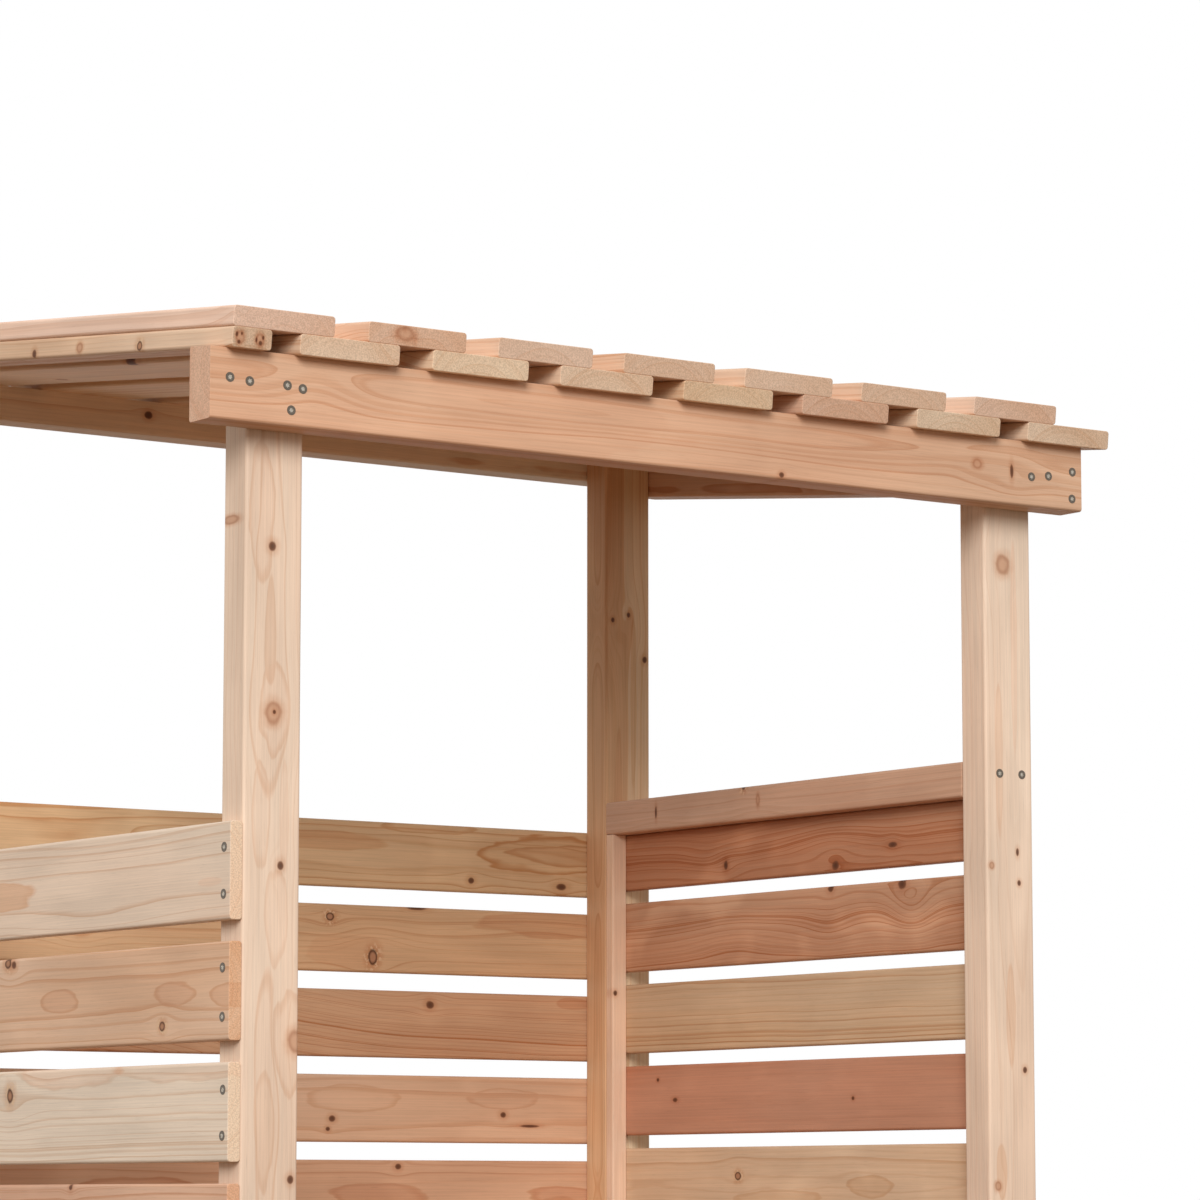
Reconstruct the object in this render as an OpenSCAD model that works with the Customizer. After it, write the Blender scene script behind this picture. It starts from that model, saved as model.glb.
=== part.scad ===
// Log store: four posts, slatted sides and back, an open front and a board roof
// that falls from the back to the front. It stands on the feet of its posts.
// The origin is at ground level, in the middle of the whole outline.
// +X is to the right, +Y to the back and +Z up. Sizes are in millimetres.

/* [Frame] */
// Width over the posts
frame_w = 1076; // [900:1:1300]
// Depth over the posts
frame_d = 810; // [600:1:1000]
// Post size across the front
post_w = 70; // [60:1:90]
// Post size from front to back
post_d = 45; // [38:1:60]
// Rounding of the arrises along every timber
arris_r = 3.5; // [2:0.5:6]

/* [Beams and rafter] */
// Thickness of the beams
beam_t = 42; // [38:1:60]
// Height of the front beam's front face
beam_h = 76; // [60:1:90]
// Height of the front beam's underside above the ground
front_beam_z = 1551; // [1400:1:1700]
// Height of the back beam's front face
back_beam_h = 42; // [38:1:90]
// Reach of the beams beyond the left posts
left_reach = 70; // [60:1:90]
// Reach of the beams beyond the right posts, the width of the rafter there
right_reach = 45; // [38:1:60]
// Depth of the rafter beside the right posts, which stands on edge
right_rafter_h = 57; // [50:1:90]

/* [Roof] */
// Slope of the roof in degrees
roof_slope = 6.5; // [4:0.5:10]
// Thickness of a roof board
roof_board_t = 22; // [16:1:25]
// Width of a roof board
roof_board_w = 124; // [100:1:150]
// Number of boards in each layer
roof_boards = 7; // [5:1:9]
// Width of the strip that closes the lower layer on the left
roof_strip_w = 48; // [40:1:70]
// Left edge of the roof, measured outwards from the left posts
roof_left = 53; // [40:1:90]
// Right edge of the roof, measured outwards from the right posts
roof_right = 74; // [50:1:100]
// Reach of the boards beyond the front beam, along the slope
roof_reach = 15; // [10:1:40]
// Reach of the boards beyond the back beam, along the slope
roof_back_reach = 38; // [10:1:60]

/* [Walls] */
// Thickness of every wall slat
slat_t = 15; // [12:1:20]
// Height of a left wall slat
left_slat_h = 103; // [80:0.5:120]
// Gap between left wall slats
left_gap = 22; // [15:0.5:40]
// Number of left wall slats
left_slats = 9; // [7:1:11]
// Top of the left wall above the ground
left_top = 1138; // [1000:1:1300]
// Height of a back wall slat
back_slat_h = 84; // [70:0.5:110]
// Gap between back wall slats
back_gap = 22; // [15:0.5:40]
// Number of back wall slats
back_slats = 11; // [8:1:13]
// Top of the back wall above the ground
back_top = 1220; // [1100:1:1350]

/* [Right wall] */
// Height of the rail on top of the right wall
rail_h = 42; // [38:1:60]
// Top of that rail above the ground
rail_top = 1256; // [1150:1:1400]
// Height of a right wall slat
right_slat_h = 88; // [70:0.5:110]
// Gap between right wall slats
right_gap = 16.5; // [10:0.5:30]
// Number of full right wall slats
right_slats = 10; // [7:1:12]
// Height of the narrower slat under the rail
ripped_slat_h = 72; // [50:1:100]
// Width of the battens that carry the right wall slats
batten_w = 22; // [18:1:30]
// Thickness of those battens
batten_t = 15; // [12:1:20]

/* [Floor] */
// Height of the floor rails
floor_rail_h = 70; // [60:1:90]
// Underside of the floor rails above the ground
floor_rail_z = 45; // [20:1:80]
// Thickness of a floor board
floor_board_t = 20; // [16:1:25]
// Width of a floor board
floor_board_w = 98; // [80:1:120]
// Number of floor boards
floor_boards = 8; // [6:1:10]

/* [Hidden] */
$fn = 32;

// Colours of the fresh timber and of the shaded slats
pale_wood = [0.88, 0.70, 0.53];
warm_wood = [0.80, 0.58, 0.42];
roof_wood = [0.85, 0.65, 0.48];

// How far a cut runs past the timber that it trims
overrun = 50;

// The lower layer of the roof is set half a spacing to the right
half_share = 0.5;

// The underside of the roof boards, as a plane that passes over the front beam's front face
roof_z0 = front_beam_z + beam_h;
function roof_z(y) = roof_z0 + (y + beam_t) * tan(roof_slope);

// Length of the roof boards along the slope, their spacing, and where the lower layer starts
roof_board_l = (frame_d + 2 * beam_t) / cos(roof_slope) + roof_reach + roof_back_reach;
roof_pitch = (roof_left + frame_w + roof_right - roof_board_w) / (roof_boards - half_share);
lower_start = half_share * roof_pitch - roof_left;

// Outline of the whole store before it is centred
outline_left = -left_reach;
outline_right = frame_w + roof_right;
outline_front = -beam_t - roof_reach * cos(roof_slope) - 2 * roof_board_t * sin(roof_slope);
outline_back = -beam_t + (roof_board_l - roof_reach) * cos(roof_slope);
centre = [-(outline_left + outline_right) / 2, -(outline_front + outline_back) / 2, 0];

// Sizes that follow from the frame
beam_l = left_reach + frame_w + right_reach;
rail_l = frame_d - 2 * post_d;
right_slat_x = frame_w - post_w + batten_w;
ripped_slat_z = rail_top - rail_h - ripped_slat_h;
right_slat_pitch = right_slat_h + right_gap;
right_bottom = ripped_slat_z - right_slats * right_slat_pitch;
floor_span = frame_w - 2 * post_w;
floor_pitch = (floor_span - floor_board_w) / (floor_boards - 1);

// Section of a timber with its four arrises rounded
module section(a, b) {
    translate([arris_r, 0]) square([a - 2 * arris_r, b]);
    translate([0, arris_r]) square([a, b - 2 * arris_r]);
    for (i = [arris_r, a - arris_r], j = [arris_r, b - arris_r]) translate([i, j]) circle(arris_r);
}

// Timbers that run along X, Y or Z from the corner of their outline
module timber_x(l, y, z) {
    rotate([90, 0, 90]) linear_extrude(l) section(y, z);
}
module timber_y(x, l, z) {
    translate([0, l, 0]) rotate([90, 0, 0]) linear_extrude(l) section(x, z);
}
module timber_z(x, y, l) {
    linear_extrude(l) section(x, y);
}

// The space taken by the roof, used to trim what stands under it to the slope
module roof_space() {
    translate([outline_left - overrun, -beam_t, roof_z0]) rotate([roof_slope, 0, 0])
        translate([0, -roof_reach - overrun, 0])
            cube([outline_right - outline_left + 2 * overrun, roof_board_l + 2 * overrun, frame_d]);
}

// A post with its foot on the ground and its head trimmed to the slope
module post(x, y) {
    color(pale_wood) translate(centre) difference() {
        translate([x, y, 0]) timber_z(post_w, post_d, roof_z(y + post_d) + overrun);
        roof_space();
    }
}

// A level beam with its top trimmed to the slope
module beam(y, z) {
    color(pale_wood) translate(centre) difference() {
        translate([-left_reach, y, z]) timber_x(beam_l, beam_t, beam_h + overrun);
        roof_space();
    }
}
module front_beam() {
    beam(-beam_t, front_beam_z);
}
module back_beam() {
    beam(frame_d, roof_z(frame_d) - back_beam_h);
}

// The rafter beside the right posts follows the slope between the two beams
module right_rafter() {
    drop = right_rafter_h / cos(roof_slope);
    color(roof_wood) translate(centre) translate([frame_w, 0, 0]) rotate([90, 0, 90])
        linear_extrude(right_reach) polygon([
            [0, roof_z(0) - drop], [frame_d, roof_z(frame_d) - drop],
            [frame_d, roof_z(frame_d)], [0, roof_z(0)]
        ]);
}

// Left wall: slats outside the posts, their front ends flush with the front
module left_wall_slats() {
    color(pale_wood) translate(centre) for (i = [0 : left_slats - 1])
        translate([-slat_t, 0, left_top - left_slat_h - i * (left_slat_h + left_gap)])
            timber_y(slat_t, frame_d, left_slat_h);
}

// Back wall: slats outside the posts that cover the ends of the left wall
module back_wall_slats() {
    color(warm_wood) translate(centre) for (i = [0 : back_slats - 1])
        translate([-slat_t, frame_d, back_top - back_slat_h - i * (back_slat_h + back_gap)])
            timber_x(frame_w + slat_t, slat_t, back_slat_h);
}

// Right wall: slats between the posts, under a flat rail. A batten at the back holds them
// from the inside, and one at the front from the outside.
module right_wall_slats() {
    color(warm_wood) translate(centre) translate([right_slat_x, post_d, 0]) {
        translate([0, 0, ripped_slat_z]) timber_y(slat_t, rail_l, ripped_slat_h);
        for (i = [1 : right_slats])
            translate([0, 0, ripped_slat_z - i * right_slat_pitch]) timber_y(slat_t, rail_l, right_slat_h);
    }
}
module right_wall_rail() {
    color(pale_wood) translate(centre) translate([frame_w - post_w, post_d, rail_top - rail_h])
        timber_y(post_w, rail_l, rail_h);
}
module batten(x, y) {
    color(warm_wood) translate(centre) translate([x, y, right_bottom])
        timber_z(batten_w, batten_t, rail_top - rail_h - right_bottom);
}
module right_wall_batten_front() {
    batten(right_slat_x + slat_t, post_d);
}
module right_wall_batten_back() {
    batten(frame_w - post_w, frame_d - post_d - batten_t);
}

// A roof board in the lower layer (0) or the upper layer (1)
module roof_board(x, w, layer) {
    color(roof_wood) translate(centre) translate([x, -beam_t, roof_z0]) rotate([roof_slope, 0, 0])
        translate([0, -roof_reach, layer * roof_board_t]) timber_y(w, roof_board_l, roof_board_t);
}
module roof_edge_strip() {
    roof_board(-roof_left, roof_strip_w, 0);
}
module roof_lower_board(i) {
    roof_board(lower_start + (i - 1) * roof_pitch, roof_board_w, 0);
}
module roof_upper_board(i) {
    roof_board(-roof_left + (i - 1) * roof_pitch, roof_board_w, 1);
}

// Raised floor: two rails between the posts and boards from front to back
module floor_rail(y) {
    color(pale_wood) translate(centre) translate([post_w, y, floor_rail_z])
        timber_x(floor_span, post_d, floor_rail_h);
}
module floor_rail_front() {
    floor_rail(0);
}
module floor_rail_back() {
    floor_rail(frame_d - post_d);
}
module floor_boards() {
    color(warm_wood) translate(centre) for (i = [0 : floor_boards - 1])
        translate([post_w + i * floor_pitch, 0, floor_rail_z + floor_rail_h])
            timber_y(floor_board_w, frame_d, floor_board_t);
}

post(0, 0);  // post_front_left
post(frame_w - post_w, 0);  // post_front_right
post(0, frame_d - post_d);  // post_back_left
post(frame_w - post_w, frame_d - post_d);  // post_back_right
front_beam();
back_beam();
right_rafter();
left_wall_slats();
back_wall_slats();
right_wall_slats();
right_wall_rail();
right_wall_batten_front();
right_wall_batten_back();
roof_edge_strip();
roof_lower_board(1);  // roof_lower_board_1
roof_lower_board(2);  // roof_lower_board_2
roof_lower_board(3);  // roof_lower_board_3
roof_lower_board(4);  // roof_lower_board_4
roof_lower_board(5);  // roof_lower_board_5
roof_lower_board(6);  // roof_lower_board_6
roof_lower_board(7);  // roof_lower_board_7
roof_upper_board(1);  // roof_upper_board_1
roof_upper_board(2);  // roof_upper_board_2
roof_upper_board(3);  // roof_upper_board_3
roof_upper_board(4);  // roof_upper_board_4
roof_upper_board(5);  // roof_upper_board_5
roof_upper_board(6);  // roof_upper_board_6
roof_upper_board(7);  // roof_upper_board_7
floor_rail_front();
floor_rail_back();
floor_boards();
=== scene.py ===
"""Dressed model of a timber log store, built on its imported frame.

Every timber is a planed board with rounded arrises, and its growth rings run through the solid. Every screw
is a countersunk head. Lengths are metres in the frame's axes, and a place on the store is written in
millimetres from the outer front corner of the front left post.
"""

import logging
import math
import random
from abc import ABC, abstractmethod
from dataclasses import dataclass, field, replace
from enum import Enum
from functools import partial, reduce
from typing import TypeVar

import bmesh
import bpy
from bmesh.types import BMesh
from bpy.types import ID, Material, Mesh, Node, NodeSocket, Object, World
from mathutils import Matrix, Vector


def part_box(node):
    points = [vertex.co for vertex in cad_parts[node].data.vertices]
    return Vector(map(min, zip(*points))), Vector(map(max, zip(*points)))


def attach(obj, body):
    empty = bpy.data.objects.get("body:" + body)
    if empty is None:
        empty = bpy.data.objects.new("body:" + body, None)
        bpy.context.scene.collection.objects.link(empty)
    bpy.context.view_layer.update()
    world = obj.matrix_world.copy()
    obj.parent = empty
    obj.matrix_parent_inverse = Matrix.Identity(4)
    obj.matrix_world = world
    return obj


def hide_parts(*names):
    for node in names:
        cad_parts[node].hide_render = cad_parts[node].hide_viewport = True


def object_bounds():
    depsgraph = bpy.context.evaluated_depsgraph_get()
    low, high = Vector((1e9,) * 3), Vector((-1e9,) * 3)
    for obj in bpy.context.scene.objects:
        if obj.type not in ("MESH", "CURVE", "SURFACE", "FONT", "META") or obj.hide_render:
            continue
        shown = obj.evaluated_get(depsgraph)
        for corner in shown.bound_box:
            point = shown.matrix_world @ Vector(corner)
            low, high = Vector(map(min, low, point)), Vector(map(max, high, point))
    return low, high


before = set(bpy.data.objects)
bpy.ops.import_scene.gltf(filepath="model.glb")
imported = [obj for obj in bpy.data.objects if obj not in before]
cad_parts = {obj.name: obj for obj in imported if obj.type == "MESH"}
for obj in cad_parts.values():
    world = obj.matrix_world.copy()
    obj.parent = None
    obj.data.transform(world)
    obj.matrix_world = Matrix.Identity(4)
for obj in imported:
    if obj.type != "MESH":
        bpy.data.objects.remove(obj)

CAD_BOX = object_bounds()
LOG = logging.getLogger("log_store")
ROOT = "root"
MM = 0.001
ROOF_SLOPE = math.radians(6.5)
ROOF_UP = Vector((0.0, -math.sin(ROOF_SLOPE), math.cos(ROOF_SLOPE)))
LEFT, RIGHT = Vector((-1, 0, 0)), Vector((1, 0, 0))
FRONT, BACK = Vector((0, -1, 0)), Vector((0, 1, 0))
UP = Vector((0, 0, 1))
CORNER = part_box("post_front_left")[0]
BEAMS = ("front_beam", "back_beam")
FLOOR_RAILS = ("floor_rail_front", "floor_rail_back")

Colour = tuple[float, float, float]
Millimetres = tuple[float, float, float]
Pitch = tuple[float, float, float]
Noise = tuple[Pitch, float]
Band = tuple[float, ...]
Value = NodeSocket | float
Triple = NodeSocket | Vector | Colour
Spot = tuple[Vector, Vector]


def site(place: Millimetres) -> Vector:
    """The point of the frame at a place, in mm from the outer front corner of the front left post."""
    return Vector((CORNER.x, CORNER.y, 0.0)) + Vector(place) * MM


def settle(name: str, mesh: BMesh) -> Mesh:
    """Turns a mesh that was being modelled into data.

    Args:
        name: The data's name.
        mesh: The mesh, which is freed.

    Returns:
        The data.
    """
    data = bpy.data.meshes.new(name)
    mesh.to_mesh(data)
    mesh.free()
    return data


def stand(name: str, data: ID) -> Object:
    """Puts an object in the scene.

    Args:
        name: Its name.
        data: Its data.

    Returns:
        The object.
    """
    thing = bpy.data.objects.new(name, data)
    bpy.context.scene.collection.objects.link(thing)
    return thing


class Axis(Enum):
    """An axis of the frame."""

    X = 0
    Y = 1
    Z = 2

    @property
    def unit(self) -> Vector:
        """The axis as a vector of length one."""
        return Vector([float(index == self.value) for index in range(3)])

    def third(self, other: "Axis") -> "Axis":
        """The axis square to this one and the other."""
        return Axis(3 - self.value - other.value)


class KnotKind(Enum):
    """How a knot looks: a dark ring round a lighter heart, a small dark spot, or grown in and pale."""

    RING = "ring"
    SPOT = "spot"
    PALE = "pale"


RING, SPOT, PALE = KnotKind


class Slot(Enum):
    """The record's material slots."""

    POST = "post_timber"
    BEAM = "beam_timber"
    SLAT = "slat_timber"
    ROOF = "roof_timber"
    FLOOR = "floor_timber"
    SCREW = "screw_steel"


@dataclass(frozen=True)
class KnotLook:
    """The colours of one kind of knot.

    Attributes:
        heart: Colour in the middle.
        rim: Colour at the edge.
        cover: How much of the wood it hides.
        rim_start: Where the heart starts to turn into the rim, in knot radii.
        edge: Where the knot has faded out.
        halo: How dark the wood is round it.
        halo_reach: Where that has faded out.
        rim_full: Where the rim is reached.
        edge_full: Where the knot starts to fade.
        halo_full: Where the dark wood starts to fade.
        crumbs_full: Where crumbs of resin start to fade.
    """

    heart: Colour
    rim: Colour
    cover: float
    rim_start: float
    edge: float
    halo: float
    halo_reach: float
    rim_full: float = 0.95
    edge_full: float = 0.85
    halo_full: float = 0.9
    crumbs_full: float = 1.3


KNOT_LOOKS = {
    PALE: KnotLook((0.56, 0.31, 0.19), (0.36, 0.155, 0.080), 0.62, 0.40, 1.35, 0.65, 2.2),
    RING: KnotLook((0.42, 0.205, 0.112), (0.070, 0.026, 0.014), 0.96, 0.45, 1.2, 0.7, 2.8),
    SPOT: KnotLook((0.080, 0.028, 0.014), (0.15, 0.055, 0.027), 0.9, 0.30, 1.4, 0.55, 3.2),
}


@dataclass(frozen=True)
class Knot:
    """A branch cut through by the saw.

    Attributes:
        place: Its place on the store.
        radius: Its radius across the grain in mm.
        kind: How it looks.
        oval: Its length along the grain in widths.
        depth: How far it runs through the board in mm; the finish's own depth if it is zero.
    """

    place: Millimetres
    radius: float
    kind: KnotKind = SPOT
    oval: float = 1.2
    depth: float = 0.0


@dataclass(frozen=True)
class Swell:
    """A bump in the growth rings, which the saw opens as an island or an arch; all in mm."""

    place: Millimetres
    along: float
    across: float
    rise: float


@dataclass(frozen=True)
class Patch:
    """A place where the saw has just opened the next growth ring.

    Attributes:
        place: Its middle on the store.
        along: Its half length along the grain in mm.
        across: Its half width in mm.
        tint: How much redder it is than the board.
        line: How dark its outline is.
    """

    place: Millimetres
    along: float
    across: float
    tint: float = 0.16
    line: float = 0.5


Mark = TypeVar("Mark", Knot, Swell, Patch)


def on_face(
    kind: type[Mark], face: Axis, at: float, *rows: tuple[float | KnotKind, ...],
) -> tuple[Mark, ...]:
    """Puts marks on one face of the store.

    Args:
        kind: What they are.
        face: The axis square to the face.
        at: The face's place on that axis, in mm.
        rows: For each mark its place along the other two axes, and then its other values.

    Returns:
        The marks.
    """
    marks = []
    for first, second, *values in rows:
        place = [first, second]
        place.insert(face.value, at)
        marks.append(kind(tuple(place), *values))
    return tuple(marks)


@dataclass(frozen=True)
class Tone:
    """The look of one board.

    Attributes:
        red: From 0, cream sapwood, to 1, red heartwood.
        wave: How far the grain wanders.
        contrast: How dark the late wood is.
        light: Brightness of the whole board.
        ring: Width of a growth ring in mm.
        offset: How far the pith lies from the board's middle, across its face, in mm.
        depth: How far the pith lies behind the board's middle, in mm.
        heart: Radius of the darker heartwood in mm.
        warm: From -1, pinkish, to 1, yellowish.
    """

    red: float = 0.3
    wave: float = 0.6
    contrast: float = 0.6
    light: float = 1.0
    ring: float = 4.5
    offset: float = 0.0
    depth: float = 55.0
    heart: float = 0.0
    warm: float = 0.0


@dataclass(frozen=True)
class Mottle:
    """A stretched noise that is eased from one level to another.

    Attributes:
        pitch: Its frequency along each axis, per metre.
        detail: Its octaves.
        band: The noise where the change starts and stops, and the level before and after.
    """

    pitch: Pitch
    detail: float
    band: Band


class NodeSheet:
    """Writes the nodes of a material or of the world as short sums."""

    def __init__(self, owner: Material | World) -> None:
        """Empties the owner's nodes.

        Args:
            owner: What the nodes are for.
        """
        self.owner = owner
        owner.use_nodes = True
        self.tree = owner.node_tree
        self.tree.nodes.clear()

    def add(self, kind: str, **settings: object) -> Node:
        """Adds a node.

        Args:
            kind: Its type.
            settings: Its properties that aren't as usual.

        Returns:
            The node.
        """
        node = self.tree.nodes.new(kind)
        for key, value in settings.items():
            setattr(node, key, value)
        return node

    def feed(self, socket: NodeSocket, value: Triple | Value) -> None:
        """Links a value to an input, or sets the input to a constant.

        Args:
            socket: The input.
            value: The value.
        """
        if isinstance(value, NodeSocket):
            self.tree.links.new(value, socket)
        else:
            socket.default_value = value

    def split(self, kind: str, value: NodeSocket) -> list[NodeSocket]:
        """Takes a vector or colour apart.

        Args:
            kind: The type of the node that does it.
            value: The vector or colour.

        Returns:
            Its three numbers.
        """
        node = self.add(kind)
        self.feed(node.inputs[0], value)
        return list(node.outputs[:3])

    def sum(self, operation: str, first: Value, second: Value = 0.0, clamp: bool = False) -> NodeSocket:
        """Adds a Math node.

        Args:
            operation: What it does.
            first: Its first number.
            second: Its second number.
            clamp: Whether the result is kept from 0 to 1.

        Returns:
            The result.
        """
        node = self.add("ShaderNodeMath", operation=operation, use_clamp=clamp)
        self.feed(node.inputs[0], first)
        self.feed(node.inputs[1], second)
        return node.outputs[0]

    def plus(self, *values: Value) -> Value:
        """Adds numbers up."""
        return reduce(partial(self.sum, "ADD"), values)

    def minus(self, first: Value, second: Value) -> NodeSocket:
        """Takes the second number from the first."""
        return self.sum("SUBTRACT", first, second)

    def times(self, *values: Value) -> Value:
        """Multiplies numbers."""
        return reduce(partial(self.sum, "MULTIPLY"), values)

    def most(self, *values: Value) -> Value:
        """The largest of some numbers."""
        return reduce(partial(self.sum, "MAXIMUM"), values)

    def vector(self, operation: str, first: Triple, second: Triple | Value = (0.0, 0.0, 0.0)) -> NodeSocket:
        """Adds a Vector Math node.

        Args:
            operation: What it does.
            first: Its first vector.
            second: Its second vector, or a number for SCALE.

        Returns:
            The result.
        """
        node = self.add("ShaderNodeVectorMath", operation=operation)
        self.feed(node.inputs[0], first)
        self.feed(node.inputs["Scale"] if operation == "SCALE" else node.inputs[1], second)
        return node.outputs["Value" if operation in ("LENGTH", "DOT_PRODUCT") else "Vector"]

    def hump(self, way: NodeSocket) -> NodeSocket:
        """One at the start of a way, easing to nothing past its length of one."""
        return self.sum("EXPONENT", self.times(self.vector("DOT_PRODUCT", way, way), -1.0))

    def noise(self, at: NodeSocket, pitch: Triple, detail: float) -> NodeSocket:
        """Adds a stretched noise.

        Args:
            at: The point.
            pitch: Its frequency along each axis, per metre.
            detail: Its octaves.

        Returns:
            The noise, from 0 to 1.
        """
        node = self.add("ShaderNodeTexNoise")
        self.feed(node.inputs["Vector"], self.vector("MULTIPLY", at, pitch))
        node.inputs["Scale"].default_value = 1.0
        node.inputs["Detail"].default_value = detail
        return node.outputs["Fac"]

    def swing(self, at: NodeSocket, pitch: Triple, detail: float) -> NodeSocket:
        """A stretched noise that swings half a unit about zero."""
        return self.minus(self.noise(at, pitch, detail), 0.5)

    def mottle(self, at: NodeSocket, mottle: Mottle) -> NodeSocket:
        """A mottle's level at a point."""
        return self.band(self.noise(at, mottle.pitch, mottle.detail), *mottle.band)

    def chance(self, seed: NodeSocket) -> NodeSocket:
        """Adds a random number.

        Args:
            seed: A whole number.

        Returns:
            The number, from 0 to 1.
        """
        node = self.add("ShaderNodeTexWhiteNoise", noise_dimensions="1D")
        self.feed(node.inputs["W"], seed)
        return node.outputs["Value"]

    def band(
        self, value: Value, low: Value, high: Value, bottom: float = 0.0, top: float = 1.0,
    ) -> NodeSocket:
        """Eases a number from one range into another.

        Args:
            value: The number.
            low: Where the result starts.
            high: Where the result ends.
            bottom: The result at low.
            top: The result at high.

        Returns:
            The eased number.
        """
        node = self.add("ShaderNodeMapRange", interpolation_type="SMOOTHSTEP")
        for socket, number in zip(node.inputs, (value, low, high, bottom, top)):
            self.feed(socket, number)
        return node.outputs["Result"]

    def ramp(self, value: NodeSocket, stops: tuple[tuple[float, Colour], ...]) -> NodeSocket:
        """Adds a colour ramp.

        Args:
            value: The place on it.
            stops: Its places and their colours.

        Returns:
            The colour.
        """
        node = self.add("ShaderNodeValToRGB")
        elements = node.color_ramp.elements
        while len(elements) < len(stops):
            elements.new(1.0)
        for element, (place, colour) in zip(elements, stops):
            element.position = place
            element.color = (*colour, 1.0)
        self.feed(node.inputs["Fac"], value)
        return node.outputs["Color"]

    def mix(self, share: Value, first: Triple, second: Triple) -> NodeSocket:
        """Mixes two colours.

        Args:
            share: How much of the second goes in.
            first: The first.
            second: The second.

        Returns:
            The mix.
        """
        node = self.add("ShaderNodeMix", data_type="RGBA")
        self.feed(node.inputs[0], share)
        for socket, colour in ((node.inputs[6], first), (node.inputs[7], second)):
            self.feed(socket, colour if isinstance(colour, NodeSocket) else (*colour, 1.0))
        return node.outputs[2]

    def tinted(self, share: Value, colour: NodeSocket, tint: Colour) -> NodeSocket:
        """Gives a share of a colour a tint."""
        return self.mix(share, colour, self.vector("MULTIPLY", colour, tint))

    def attribute(self, name: str) -> Node:
        """Adds a node that reads an attribute of the mesh."""
        return self.add("ShaderNodeAttribute", attribute_name=name)

    def looked_at(self) -> NodeSocket:
        """One for what the camera sees, also in gloss and through glass, and zero for bounced light."""
        rays = self.add("ShaderNodeLightPath")
        return self.most(*(rays.outputs[f"Is {kind} Ray"] for kind in ("Camera", "Glossy", "Transmission")))

    def surface(self, shader: NodeSocket) -> Material | World:
        """Makes a shader the owner's surface.

        Args:
            shader: The shader.

        Returns:
            The owner.
        """
        kind = "World" if isinstance(self.owner, World) else "Material"
        self.feed(self.add(f"ShaderNodeOutput{kind}").inputs["Surface"], shader)
        return self.owner


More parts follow.
